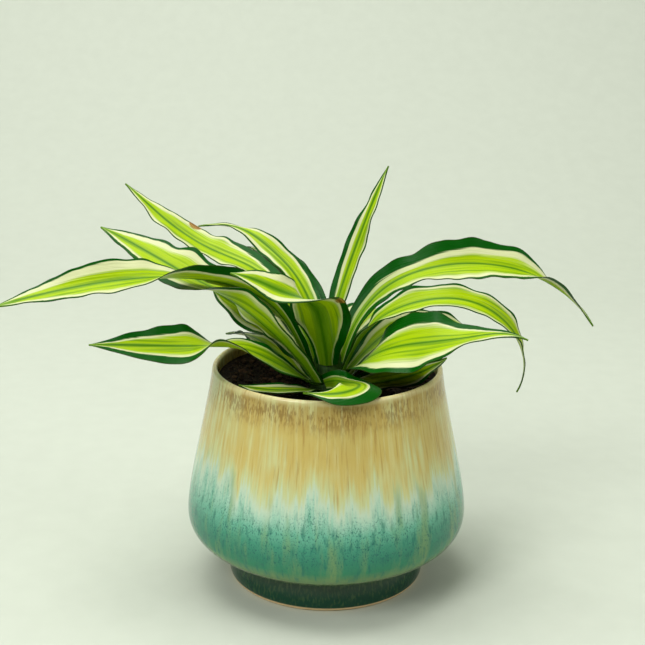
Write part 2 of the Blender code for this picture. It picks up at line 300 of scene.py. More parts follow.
def melted_height(tree, wall, sideways, height):
    """Height on the wall in millimetres, moved by the drips where the tan runs into the teal."""
    reach = height
    for scale, change, shift, detail, size in DRIPS:
        swing = maths(tree, "SUBTRACT", wall_streaks(tree, wall, scale, change, shift, detail), 0.5)
        reach = maths(tree, "MULTIPLY_ADD", swing, size, reach)
    reach = maths(tree, "ADD", reach, product(tree, sideways, sideways, SIDE_DROP))
    loose = product(tree, above(tree, height, *MELT_STARTS), below(tree, height, *MELT_ENDS))
    node = tree.nodes.new("ShaderNodeMix")
    tree.links.new(loose, node.inputs[0])
    tree.links.new(height, node.inputs[2])
    tree.links.new(reach, node.inputs[3])
    return node.outputs[0]


def glaze_material():
    """Tan glaze that ran down over teal, with a speckled rim and a bare clay line at the foot."""
    made, tree, shader = new_material("reactive_glaze")
    wall, sideways, height = round_the_pot(tree)
    share = maths(tree, "DIVIDE", melted_height(tree, wall, sideways, height), POT_HEIGHT)
    base = colour_steps(tree, share, [
        (0.070, linear(0, 60, 40)), (0.140, linear(26, 60, 26)), (0.190, linear(96, 120, 70)),
        (0.235, linear(98, 136, 86)), (0.275, linear(44, 128, 92)), (0.330, linear(42, 126, 98)),
        (0.385, linear(62, 144, 116)), (0.440, linear(104, 176, 148)), (0.490, linear(162, 204, 180)),
        (0.540, linear(192, 212, 186)), (0.595, linear(196, 202, 146)), (0.670, linear(200, 182, 108)),
        (0.750, linear(198, 175, 98)), (0.840, linear(198, 178, 102)),
        (0.890, linear(188, 164, 90)), (0.975, linear(172, 148, 78)), (0.990, linear(200, 186, 132))])

    # Tan: pale runs, brown runs and cloudy patches.
    brushed = wall_streaks(tree, wall, 40.0, 0.0009, 5.2, 4.0)
    pale_runs = product(tree, above(tree, brushed, 0.48, 0.70), 0.42)
    tan = blended(tree, pale_runs, base, linear(214, 212, 150))
    brown_runs = above(tree, wall_streaks(tree, wall, 52.0, 0.0010, 9.4, 4.0), 0.52, 0.74)
    tan = blended(tree, product(tree, brown_runs, 0.55), tan, linear(160, 122, 54))
    cloud = above(tree, wall_streaks(tree, wall, 2.6, 0.010, 0.4, 2.0), 0.46, 0.66)
    cloud = product(tree, above(tree, height, 72.0, 92.0), cloud, above(tree, brushed, 0.3, 0.6), 0.8)
    tan = blended(tree, cloud, tan, linear(202, 208, 150))

    # Teal: olive runs, deeper runs and dark specks, which stop under the pale band.
    in_teal = below(tree, share, 0.54, 0.64)
    colour = blended(tree, in_teal, tan, base)
    belly = product(tree, above(tree, height, 25.0, 32.0), in_teal)
    olive = above(tree, wall_streaks(tree, wall, 9.0, 0.0030, 2.6, 5.0), 0.50, 0.72)
    colour = blended(tree, product(tree, olive, belly, 0.60), colour, linear(124, 152, 92))
    not_pale = below(tree, share, 0.42, 0.56)
    deep = above(tree, wall_streaks(tree, wall, 34.0, 0.0040, 8.2, 4.0), 0.50, 0.72)
    colour = blended(tree, product(tree, deep, belly, 0.75, not_pale), colour, linear(26, 108, 92))
    speck_zone = product(tree, above(tree, height, 28.0, 46.0), not_pale)
    crowd = product(tree, wall_streaks(tree, wall, 4.0, 0.02, 6.6, 1.0), 0.14)
    for scale, shift in ((95.0, 4.4), (170.0, 2.9)):
        specks = maths(tree, "ADD", wall_streaks(tree, wall, scale, 0.008, shift, 1.0), crowd)
        specks = product(tree, above(tree, specks, 0.67, 0.75), speck_zone, 0.7)
        colour = blended(tree, specks, colour, linear(20, 86, 84))

    # Foot, rim and the line of bare clay.
    foot_flecks = above(tree, wall_streaks(tree, wall, 46.0, 0.006, 4.7, 5.0), 0.48, 0.66)
    foot_flecks = product(tree, foot_flecks, below(tree, height, 14.0, 20.0), 0.35)
    colour = blended(tree, foot_flecks, colour, linear(84, 108, 60))
    rim = product(tree, above(tree, height, 103.0, 118.0), below(tree, height, 120.5, 123.0))
    clumps = product(tree, wall_streaks(tree, wall, 3.0, 0.02, 1.9, 1.0), 0.5)
    flecks = maths(tree, "ADD", wall_streaks(tree, wall, 70.0, 0.0040, 6.1, 4.0), clumps)
    flecks = product(tree, above(tree, flecks, 0.72, 0.90), rim, 0.6)
    colour = blended(tree, flecks, colour, linear(116, 84, 36))
    clay = below(tree, height, 1.8, 2.4)
    colour = blended(tree, clay, colour, linear(226, 196, 148))
    tree.links.new(colour, shader.inputs["Base Color"])

    mottle = wall_streaks(tree, wall, 24.0, 0.02, 0.7, 3.0)
    glossy = maths(tree, "MULTIPLY_ADD", mottle, 0.14, 0.08)
    rough = maths(tree, "MAXIMUM", glossy, product(tree, clay, 0.8))
    tree.links.new(rough, shader.inputs["Roughness"])
    shader.inputs["IOR"].default_value = 1.52
    shader.inputs["Specular IOR Level"].default_value = 0.36
    ripples = maths(tree, "MULTIPLY_ADD", brushed, 0.5, mottle)
    tree.links.new(raised(tree, ripples, 0.0005, 0.35), shader.inputs["Normal"])
    return made


pot.data.materials.append(glaze_material())
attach(pot, "root")
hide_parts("pot")


# Soil. Dark peat potting mix, pressed in to just under the rim and lower round the stem, with
# a lumpy surface. One solid with a blind hole in which the stem stands.
TOUCH_GAP = 0.3
SOIL_EDGE = RIM_RADIUS - RIM_WALL - TOUCH_GAP
SOIL_DIP = 7.2
SOIL_FADE = 3.0
STEM_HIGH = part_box("stem")[1] / MM
STEM_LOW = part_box("stem")[0] / MM
STEM_RADIUS = STEM_HIGH.x
HOLE_RADIUS = STEM_RADIUS + TOUCH_GAP
SOIL_RINGS = 42
SOIL_SEGMENTS = 180


def soil_height(radius):
    """Mean height of the soil's surface: a shallow dish that deepens towards the stem."""
    share = min(max((radius - HOLE_RADIUS) / (SOIL_EDGE - HOLE_RADIUS), 0.0), 1.0)
    return SOIL_EDGE_HEIGHT - SOIL_DIP * (1 - share ** 2.5)


def soil_lumps(x, y):
    """Rise of the lumps over the mean surface at a point, in millimetres."""
    broad = noise.noise(Vector((x * 0.07, y * 0.07, 3.0)))
    clods = noise.noise(Vector((x * 0.22, y * 0.22, 8.0)))
    fine = noise.noise(Vector((x * 0.6, y * 0.6, 1.0)))
    return 0.9 * broad + 0.8 * clods + 0.4 * fine


soil_sides = [(radius - TOUCH_GAP, height + TOUCH_GAP) for radius, height in reversed(pot_inside()[1:])]
soil_top = []
for ring in range(SOIL_RINGS + 1):
    ring_radius = SOIL_EDGE + (HOLE_RADIUS - SOIL_EDGE) * ring / SOIL_RINGS
    soil_top.append((ring_radius, soil_height(ring_radius)))
soil_hole = [(HOLE_RADIUS, STEM_LOW.z - TOUCH_GAP)]
soil = raise_rings("peat_soil", [*soil_sides, *soil_top, *soil_hole], SOIL_SEGMENTS)
for vertex in soil.data.vertices:
    x, y, z = vertex.co / MM
    radius = math.hypot(x, y)
    on_top = abs(z - soil_height(radius)) < 0.01 and radius > HOLE_RADIUS - 0.01
    if on_top:
        fade = min(1.0, (SOIL_EDGE - radius) / SOIL_FADE, (radius - HOLE_RADIUS) / SOIL_FADE)
        vertex.co.z += soil_lumps(x, y) * fade * MM


def soil_material(name, tint):
    """Moist peat: nearly black with brown fibres and crumbs, quite matte."""
    made, tree, shader = new_material(name)
    place = tree.nodes.new("ShaderNodeTexCoord").outputs["Object"]
    crumbs = grain(tree, place, 700.0, detail=6.0)
    patches = grain(tree, place, 120.0, shift=4.0, detail=3.0)
    dark = colour_steps(tree, crumbs, [(0.4, linear(6, 5, 3)), (0.56, linear(30, 23, 13)),
                                       (0.75, linear(80, 63, 40))])
    colour = blended(tree, product(tree, patches, 0.6), dark, tint)
    tree.links.new(colour, shader.inputs["Base Color"])
    damp = maths(tree, "MULTIPLY_ADD", patches, 0.3, 0.7)
    tree.links.new(damp, shader.inputs["Roughness"])
    shader.inputs["Specular IOR Level"].default_value = 0.08
    tree.links.new(raised(tree, crumbs, 0.0012, 1.0), shader.inputs["Normal"])
    return made


soil.data.materials.append(soil_material("moist_peat", linear(20, 15, 8)))
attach(soil, "root")
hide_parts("soil")


# Crumbs and bark chips. Loose bits of the same mix that lie on the surface: small clods, and
# flat chips of brown bark. Each sits a little into the soil where it lies.
CRUMB_SEED = 11
CRUMB_LIFT = 0.35
CRUMB_UNEVENNESS = 0.22
CLEAR_OF_STEM = 15.0
CLEAR_OF_WALL = 3.5
random = np.random.default_rng(CRUMB_SEED)


def scatter(name, count, sizes, flatness, detail):
    """Small rough stones spread at random over the soil, joined in one mesh."""
    bits = bmesh.new()
    for _ in range(count):
        radius = math.sqrt(random.uniform(CLEAR_OF_STEM ** 2, (SOIL_EDGE - CLEAR_OF_WALL) ** 2))
        turn = random.uniform(0.0, 2 * math.pi)
        x, y = radius * math.cos(turn), radius * math.sin(turn)
        size = random.uniform(*sizes)
        bit = bmesh.ops.create_icosphere(bits, subdivisions=detail, radius=size * MM)["verts"]
        spin = random.uniform(0.0, 2 * math.pi)
        long_way = random.uniform(1.0, 1.7)
        lie = Vector((x, y, soil_height(radius) + soil_lumps(x, y) + size * flatness * CRUMB_LIFT))
        for vertex in bit:
            point = vertex.co * (1 + random.uniform(-CRUMB_UNEVENNESS, CRUMB_UNEVENNESS))
            point.x *= long_way
            point.z *= flatness
            along_x = point.x * math.cos(spin) - point.y * math.sin(spin)
            along_y = point.x * math.sin(spin) + point.y * math.cos(spin)
            vertex.co = Vector((along_x, along_y, point.z)) + lie * MM
    mesh = bpy.data.meshes.new(name)
    bits.to_mesh(mesh)
    bits.free()
    piece = bpy.data.objects.new(name, mesh)
    bpy.context.scene.collection.objects.link(piece)
    return piece


crumbs = scatter("soil_crumbs", 900, (0.5, 1.6), 0.75, 1)
crumbs.data.materials.append(soil_material("peat_crumbs", linear(44, 33, 20)))
chips = scatter("bark_chips", 110, (1.0, 2.4), 0.4, 2)
chips.data.materials.append(soil_material("brown_bark", linear(88, 64, 40)))
for loose in (crumbs, chips):
    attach(loose, "root")


# Stem. A short green cane, ringed by the scars of fallen leaves and narrowing to the growing
# tip, which stands in the soil's hole.
STEM_TOP_RADIUS = 6.0
STEM_TAPER_FROM = 110.0
STEM_TAPER_TO = 140.0
STEM_SEGMENTS = 48
SCARS_FROM = 106.0
SCAR_SPACING = 3.0
SCAR_DEPTH = 0.18


def stem_radius(height):
    """Radius of the stem: even at first, then narrowing to its tip."""
    share = (height - STEM_TAPER_FROM) / (STEM_TAPER_TO - STEM_TAPER_FROM)
    return STEM_RADIUS + (STEM_TOP_RADIUS - STEM_RADIUS) * min(max(share, 0.0), 1.0)


stem_outline = [(STEM_RADIUS - 1.0, STEM_LOW.z), (STEM_RADIUS, STEM_LOW.z + 1.0)]
scar_height = SCARS_FROM
while scar_height < STEM_TAPER_TO:
    for lift, cut in ((0.0, 0.0), (0.45, 1.0), (0.75, 0.2)):
        level = scar_height + lift * SCAR_SPACING
        stem_outline.append((stem_radius(level) - cut * SCAR_DEPTH, level))
    scar_height += SCAR_SPACING
for tip_radius, drop in ((5.0, 2.5), (3.4, 1.1), (1.5, 0.2), (0.3, 0.0)):
    stem_outline.append((tip_radius, STEM_HIGH.z - drop))
stem = raise_rings("leaf_stem", stem_outline, STEM_SEGMENTS)


def stem_material():
    """Green bark with fine lengthwise lines."""
    made, tree, shader = new_material("green_bark")
    place = tree.nodes.new("ShaderNodeTexCoord").outputs["Object"]
    lines = grain(tree, place, 900.0, (1.0, 1.0, 0.08), detail=3.0)
    colour = colour_steps(tree, lines, [(0.35, linear(18, 52, 4)), (0.65, linear(46, 82, 10))])
    tree.links.new(colour, shader.inputs["Base Color"])
    shader.inputs["Roughness"].default_value = 0.55
    tree.links.new(raised(tree, lines, 0.0004, 0.5), shader.inputs["Normal"])
    return made


stem.data.materials.append(stem_material())
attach(stem, "root")
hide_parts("stem")


# Leaves. Long waxy blades, thickest at the midrib, each striped lengthwise: a green midrib,
# lime on both sides of it, a cream band and a dark green margin. Each clasps the stem. A blade
# is a flat grid laid along the leaf's curve, thickened to both sides.
LEAF_THICKNESS = 0.9
LEAF_EDGE_THICKNESS = 0.42
LEAF_SEAT_GAP = 0.5
LEAF_TIP_WIDTH = 0.5
LEAF_ROW_LENGTH = 1.7
BANDS_ACROSS = 8
COLUMNS_PER_BAND = 3
MIDRIB_SWELL_WIDTH = 1.4
CREASE_WIDTH = 0.8
CLASP_SHARE = 0.22
CLASP_ROOM = 4.0
EDGE_WAVE = 11.0
EDGE_FLUTTER = 2.2
EDGE_SWELL = 0.14
SPOT_REACH = 0.025
PATTERN_SPACING = 40.0


@dataclass
class Leaf:
    """One leaf. Heading, pitch, roll and the stripes are read at even steps from base to tip.

    seat: side of the stem that it grows from, and height: its level there
    heading: turn from +X towards +Y, pitch: lift from the horizontal
    roll: turn of the blade about its midrib
    belly: share of the length where it is widest, neck: width of its base as a share of that
    tip: how pointed it ends, fold: rise of each half from the midrib, cup: curl over its width
    wave: size, number and start of the ripples along its edges
    midrib: half the width of the midrib's stripe
    green_left, green_right: width of the dark margin, seen from the base looking out
    cream_left, cream_right: width of the cream band inside it
    scorch: share of the length and side (1 left, -1 right) of a dry brown spot
    """

    height: float
    length: float
    width: float
    seat: float
    heading: tuple
    pitch: tuple
    roll: tuple = (0, 0)
    belly: float = 0.42
    neck: float = 0.45
    tip: float = 0.9
    fold: float = 14
    cup: float = 0.0
    wave: tuple = (1.5, 2.5, 0)
    midrib: float = 1.1
    green_left: tuple = (2, 2.5, 2.5, 1.5)
    green_right: tuple = (2, 2.5, 2.5, 1.5)
    cream_left: tuple = (0.5, 2, 2, 1)
    cream_right: tuple = (0.5, 2, 2, 1)
    scorch: tuple = ()


LEAVES = {
    "left_reaching": Leaf(
        height=121.6, length=196, width=24, seat=200,
        heading=(200, 192, 191, 197, 199, 197, 200), pitch=(68, 57, 22, 6, -2, -9, -12),
        roll=(0, 30, 45, 50, 20, -28, -32, -30, -20),
        belly=0.6, neck=0.42, tip=0.75, fold=24, wave=(1.0, 3, 0.2),
        green_left=(3, 5, 6, 5.5, 1.4, 0.5, 1, 0.4), green_right=(1, 0.8, 0.8, 1, 1.2, 1.3, 0.6),
        cream_left=(0.3, 0.6, 1, 1.2, 1.5, 1), cream_right=(0.3, 0.6, 2, 4.5, 3.5, 1)),
    "left_middle": Leaf(
        height=116.6, length=161, width=28, seat=229,
        heading=(219, 193, 167, 153, 151, 152, 155), pitch=(56, 49, 36, 20, 20, 20, 18),
        roll=(0, 25, 50, 55, 0, -25, -30, -25, -10),
        belly=0.6, neck=0.4, fold=16,
        green_left=(1, 1, 1, 2, 4.5, 3, 2, 1), green_right=(1, 1.2, 1.5, 1.5, 2, 2, 1.2, 0.8),
        cream_left=(0.5, 1, 1.2, 1.5, 1.5, 0.8), cream_right=(0.5, 1, 1.6, 2.6, 2.8, 1.2)),
    "left_rising": Leaf(
        height=127.5, length=167, width=21.5, seat=150,
        heading=(144, 135, 144, 148, 151, 152, 155), pitch=(69, 47, 24.5, 12, 22.5, 33, 36),
        roll=(0, -5, -10, -15, -20, -20, -10),
        belly=0.5, neck=0.36, fold=18, wave=(0.8, 3, 0),
        green_left=(1, 0.8, 0.7, 0.6, 0.5, 0.4), green_right=(5, 6, 5, 4, 0.8, 0.6, 0.5, 0.4),
        cream_left=(0.3, 0.6, 1, 1.2, 0.8), cream_right=(0.3, 0.6, 1, 1.6, 1),
        scorch=(0.70, -1)),
    "left_low": Leaf(
        height=114.5, length=134, width=24, seat=222,
        heading=(220, 212, 206, 197, 194, 191, 188), pitch=(32, 35, 28, 5, 5, 4, 2),
        roll=(0, -15, -30, -15, 22, -35, -48, -48, -42),
        belly=0.62, neck=0.65, tip=1.1, fold=12, wave=(0.8, 2, 0.3),
        green_left=(1.5, 2.2, 2.2, 1, 3.5, 4.6, 2.6, 1), green_right=(2, 2.5, 2.5, 1, 3.2, 5, 3, 1),
        cream_left=(0.2, 0.3, 0.6, 0.6), cream_right=(0.2, 0.3, 0.8, 0.6)),
    "front_turned": Leaf(
        height=126.5, length=95, width=33, seat=268,
        heading=(264, 254, 252, 248, 225, 190, 178, 180, 186),
        pitch=(68, 64, 63, 60, 38, 20, 25, 20, 10), roll=(0, 0, 0, 8, 12, -5, -35, -35, -10),
        belly=0.38, neck=0.38, fold=12, midrib=5.2,
        green_left=(3, 4.5, 4.5, 2.5, 1.6, 1.2, 0.8), green_right=(1.5, 2, 2, 1.6, 1, 0.8, 0.6),
        cream_left=(0.4, 0.5, 0.6, 0.8, 5, 6, 4, 1), cream_right=(0.4, 0.5, 0.6, 0.8, 4, 5, 3, 1),
        scorch=(0.47, 1)),
    "back_left": Leaf(
        height=126, length=133, width=15, seat=96,
        heading=(106, 115, 126, 138, 142, 150, 172), pitch=(52, 46, 42, 31, 24, 4, -12),
        roll=(0, -5, -15, -25, -25, -10, 0),
        neck=0.38, fold=16,
        green_left=(1, 1.6, 1.6, 1.2, 0.8, 0.5), green_right=(1.5, 2, 1.6, 1, 0.6, 0.5),
        cream_left=(0.3, 0.8, 1.4, 2, 1), cream_right=(0.3, 0.8, 1.2, 1.2, 0.8)),
    "upright": Leaf(
        height=135, length=106, width=14, seat=86,
        heading=(74, 58, 44, 35, 32, 31, 28), pitch=(60, 63, 65, 66, 66, 64, 63),
        roll=(0, 0, 10, 15, 15, 15, 15), neck=0.42,
        wave=(0.6, 3, 0.3),
        green_left=(3, 3.6, 2.6, 1.4, 0.6), green_right=(0.8, 0.8, 0.8, 0.6, 0.4),
        cream_left=(1, 2.4, 2.4, 1.5, 1), cream_right=(0.3, 0.5, 0.5, 0.5)),
    "right_arching": Leaf(
        height=124.5, length=184, width=28, seat=32,
        heading=(44, 26, 11, 6, 1, -8, -23), pitch=(70, 52, 23, 4, -12, -32, -56),
        roll=(0, 12, 24, 30, 34, 38, 38, 28, -15, -10, 0),
        belly=0.55, neck=0.35, tip=0.95, fold=22, wave=(1.2, 4, 0),
        green_left=(3, 5, 7, 7, 6, 4, 1.6, 1, 0.8), green_right=(2.5, 4, 3, 0.6, 0.6, 2, 3, 2, 0.6),
        cream_left=(0.5, 1.5, 2.5, 3.2, 3.2, 1.5), cream_right=(0.5, 1, 2, 2.2, 2.2, 1)),
    "right_hooked": Leaf(
        height=120.5, length=158, width=17, seat=338,
        heading=(-28, -18, -6, -4, -1, 0, 0), pitch=(70, 55, 25, 1, -34, -69, -118),
        roll=(0, 5, 25, 35, 35, 20, 0),
        fold=22, wave=(0.8, 3, 0),
        green_left=(1.5, 2, 1.6, 1, 0.8, 0.6, 0.5), green_right=(0.8, 0.8, 0.6, 0.6, 0.6, 0.5),
        cream_left=(0.3, 0.5, 0.7, 0.6, 0.4), cream_right=(0.3, 0.4, 0.5, 0.4)),
    "right_broad": Leaf(
        height=116.2, length=122, width=37, seat=325,
        heading=(-42, -47, -40, -28, -25, -20, -12), pitch=(44, 41, 27, 15, 14, 13, -22),
        roll=(0, 15, 35, 42, 42, 22, 15, 10),
        neck=0.3, tip=1.3, fold=8, wave=(1.0, 2, 0),
        green_left=(8, 9.5, 8, 5.5, 3, 1), green_right=(2, 3, 3.2, 2.5, 1, 0.6),
        cream_left=(0.5, 0.8, 0.8, 0.8, 0.8), cream_right=(1, 3, 3.5, 2, 1)),
    "right_behind": Leaf(
        height=116, length=101, width=21, seat=22,
        heading=(20, 38, 38, 29, 24, 21, 19), pitch=(50, 34, 24, 11, -6, -22, -38),
        roll=(0, 10, 20, 20, 20, 10, 0),
        green_left=(2, 3.2, 3, 1.6, 0.8)),
    "right_low": Leaf(
        height=113.2, length=70, width=20, seat=347,
        heading=(-30, -42, -34, -31, -31, -33, -35), pitch=(16, 15, 18, 20, 27, 34, 38),
        roll=(0, -30, -55, -60, -55, -45, -30),
        green_left=(2, 2, 2, 1), green_right=(2, 2.6, 2, 1),
        cream_left=(0.3, 0.6, 0.6), cream_right=(0.3, 0.6, 0.6)),
    "front_curled": Leaf(
        height=116.8, length=86, width=24, seat=261,
        heading=(-66, -63, -62, -62, -70, -91, -127, -166, -194, -208),
        pitch=(28, 19, 12, 14, 14, 10, 0, -4, -3, -2),
        roll=(110, 95, 35, 14, 5, -1, -16, -24, -14, -4),
        belly=0.52, neck=0.38, tip=1.3, fold=0, cup=-0.05, wave=(0.5, 2, 0),
        green_left=(5, 7, 8, 8.5, 8.5, 8, 7, 4, 1.2, 0.5), green_right=(1, 1, 1, 0.8, 0.6),
        cream_left=(0.3, 0.5, 0.6, 0.6, 0.5), cream_right=(0.5, 0.8, 0.8, 0.6)),
    "front_short": Leaf(
        height=112.2, length=54, width=14, seat=244,
        heading=(238, 228, 222, 205, 175, 155), pitch=(16, 14, 12, 9, 6, 6),
        roll=(0, 0, -5, -10, -10, -5),
        neck=0.34, wave=(0.5, 2, 0),
        green_left=(0.5, 0.8, 0.8, 0.5), green_right=(0.8, 1.6, 1.2, 0.6),
        cream_left=(0.3, 1, 1, 0.6), cream_right=(0.3, 1.6, 1.6, 0.6)),
    "left_inner_upper": Leaf(
        height=118.6, length=76, width=17, seat=180,
        heading=(172, 155, 150, 148, 146), pitch=(60, 50, 36, 24, 12), roll=(0, 0, 5, 0, 0),
        neck=0.26),
    "left_inner_middle": Leaf(
        height=117.5, length=78, width=26, seat=157,
        heading=(150, 140, 147, 153, 155, 156), pitch=(46, 34, 29, 28, 26, 22),
        roll=(0, 0, -10, -20, -20, -10),
        belly=0.66, neck=0.32, tip=0.8),
    "left_inner_lower": Leaf(
        height=113.5, length=64, width=20, seat=164,
        heading=(152, 140, 144, 149, 152), pitch=(27.5, 26, 22, 8, -16), roll=(0, 0, 5, 5, 0),
        neck=0.37),
    "rear_right": Leaf(
        height=115.6, length=118, width=24, seat=70,
        heading=(70, 64, 63, 60, 59), pitch=(46, 28, -4, -34, -52),
        neck=0.3),
    "rear_middle": Leaf(
        height=119, length=120, width=20, seat=87.5,
        heading=(104, 113, 123, 133, 143, 150), pitch=(51, 48, 41, 25, 3, -20),
        roll=(0, -8, -12, -12, -8, 0),
        neck=0.36,
        green_left=(2, 2, 2, 1), green_right=(3, 4, 4, 3, 1), cream_right=(0.5, 1.5, 1.5, 1)),
    "rear_left": Leaf(
        height=116, length=105, width=24, seat=124,
        heading=(116, 114, 112, 110, 109), pitch=(36, 18, -4, -28, -46),
        neck=0.4),
    "rear_low": Leaf(
        height=113.5, length=90, width=22, seat=38,
        heading=(38, 40, 44, 48, 50), pitch=(30, 20, 0, -22, -42)),
    "young": Leaf(
        height=135, length=26, width=12, seat=300,
        heading=(300, 300), pitch=(84, 80),
        fold=4, cup=0.16, wave=(0, 2, 0),
        green_left=(1, 1.5, 0.8), green_right=(1, 1.5, 0.8), cream_left=(0.3, 0.8, 0.5),
        cream_right=(0.3, 0.8, 0.5)),
}


def along(values, share):
    """A smooth curve through evenly spaced values, read at each share of its length."""
    knots = np.array(values, float)
    last = len(knots) - 1
    place = np.clip(share, 0.0, 1.0) * last
    low = np.minimum(place.astype(int), last - 1)
    t = place - low
    ends = np.concatenate([[2 * knots[0] - knots[1]], knots, [2 * knots[last] - knots[last - 1]]])
    before, here, there, after = (ends[low + k] for k in range(4))
    bend = 2 * before - 5 * here + 4 * there - after
    swing = 3 * here - before - 3 * there + after
    return 0.5 * (2 * here + (there - before) * t + bend * t ** 2 + swing * t ** 3)


def midrib_direction(leaf, share):
    """Unit vectors along the midrib at each share of the leaf's length."""
    heading = np.radians(along(leaf.heading, share))
    pitch = np.radians(along(leaf.pitch, share))
    flat = np.cos(pitch)
    return np.stack([flat * np.cos(heading), flat * np.sin(heading), np.sin(pitch)], 1)


def midrib_points(leaf, share):
    """Points along the midrib, from the leaf's seat on the stem."""
    fine = np.linspace(0.0, 1.0, 401)
    ahead = midrib_direction(leaf, fine)
    steps = (ahead[1:] + ahead[:-1]) / 2 * leaf.length / (len(fine) - 1)
    run = np.vstack([np.zeros(3), np.cumsum(steps, 0)])
    seat = math.radians(leaf.seat)
    out = stem_radius(leaf.height) + LEAF_SEAT_GAP + LEAF_THICKNESS / 2
    base = np.array([out * math.cos(seat), out * math.sin(seat), leaf.height])
    return base + np.stack([np.interp(share, fine, run[:, axis]) for axis in range(3)], 1)


def unevenness(leaf, share, spacing, start):
    """A slow random swing from -1 to 1 along the leaf, with its own course on every leaf."""
    steps = share * leaf.length / spacing
    return np.array([noise.noise(Vector((step, leaf.seat, start))) for step in steps])


def blade_width(leaf, share):
    """Width along the leaf: a narrow clasping base, a belly and a drawn-out tip."""
    rise = leaf.neck + (1 - leaf.neck) * np.sin(np.pi / 2 * np.clip(share / leaf.belly, 0, 1)) ** 2
    fall = np.cos(np.pi / 2 * np.clip((share - leaf.belly) / (1 - leaf.belly), 0, 1)) ** leaf.tip
    shape = np.where(share < leaf.belly, rise, fall)
    return np.maximum(leaf.width * shape, LEAF_TIP_WIDTH)


def blade_lift(leaf, share, across, out):
    """Rise of the blade above its midrib's plane from its fold and its rippled edges."""
    fold_share = np.clip(share / 0.15, 0, 1) * np.clip((1.05 - share) / 0.3, 0, 1)
    fold = np.tan(math.radians(leaf.fold) * fold_share)
    size, count, start = leaf.wave
    wave_share = np.clip(share / 0.25, 0, 1) * np.clip((1 - share) / 0.2, 0, 1)
    phase = 2 * np.pi * (count * share + start + 0.22 * np.sign(across))
    ripple = size * wave_share * np.abs(across) ** 1.6 * np.sin(phase)
    rows, row = np.unique(share, return_inverse=True)
    left, right = (unevenness(leaf, rows, EDGE_WAVE, start)[row] for start in (20.0, 40.0))
    flutter = EDGE_FLUTTER * wave_share * np.abs(across) ** 2.5 * np.where(across > 0, left, right)
    return (np.sqrt(out ** 2 + CREASE_WIDTH ** 2) - CREASE_WIDTH) * fold + ripple + flutter


def blade_points(leaf, share, across):
    """Points of the blade's middle surface. across runs from -1 to 1 over its width."""
    ahead = midrib_direction(leaf, share)
    heading = np.radians(along(leaf.heading, share))
    roll = np.radians(along(leaf.roll, share))[:, None]
    level = np.stack([-np.sin(heading), np.cos(heading), np.zeros_like(heading)], 1)
    upright = np.cross(ahead, level)
    side = level * np.cos(roll) + upright * np.sin(roll)
    up = upright * np.cos(roll) - level * np.sin(roll)

    rows, row = np.unique(share, return_inverse=True)
    left, right = (unevenness(leaf, rows, EDGE_WAVE, start)[row] for start in (60.0, 80.0))
    swell = 1 + EDGE_SWELL * np.where(across > 0, left, right) * np.abs(across)
    out = blade_width(leaf, share) / 2 * across * swell
    clasp = np.clip(1 - share / CLASP_SHARE, 0, 1) ** 1.5
    clasp_curve = 1 / (stem_radius(leaf.height) + CLASP_ROOM)
    curve = clasp * clasp_curve + (1 - clasp) * leaf.cup + 1e-6
    sideways = np.sin(curve * out) / curve
    lift = (1 - np.cos(curve * out)) / curve + blade_lift(leaf, share, across, out)
    return midrib_points(leaf, share) + side * sideways[:, None] + up * lift[:, None]


def stripe_place(leaf, share, band):
    """Where a stripe border lies: band 0 is the midrib, 1 to 3 the borders, 4 the edge."""
    half = blade_width(leaf, share) / 2
    left = band > 0
    green = np.where(left, along(leaf.green_left, share), along(leaf.green_right, share))
    cream = np.where(left, along(leaf.cream_left, share), along(leaf.cream_right, share))
    middle = np.minimum(leaf.midrib, 0.3 * half)
    green = np.clip(green, 0.12, 0.55 * half)
    cream = np.clip(cream, 0.08, 0.6 * (half - green - middle))
    borders = np.stack([np.zeros_like(half), middle, half - green - cream, half - green, half])
    size = np.abs(band)
    low = np.minimum(size.astype(int), 3)
    rows = np.arange(len(half))
    near, far = borders[low, rows], borders[low + 1, rows]
    return np.sign(band) * (near + (far - near) * (size - low)) / half


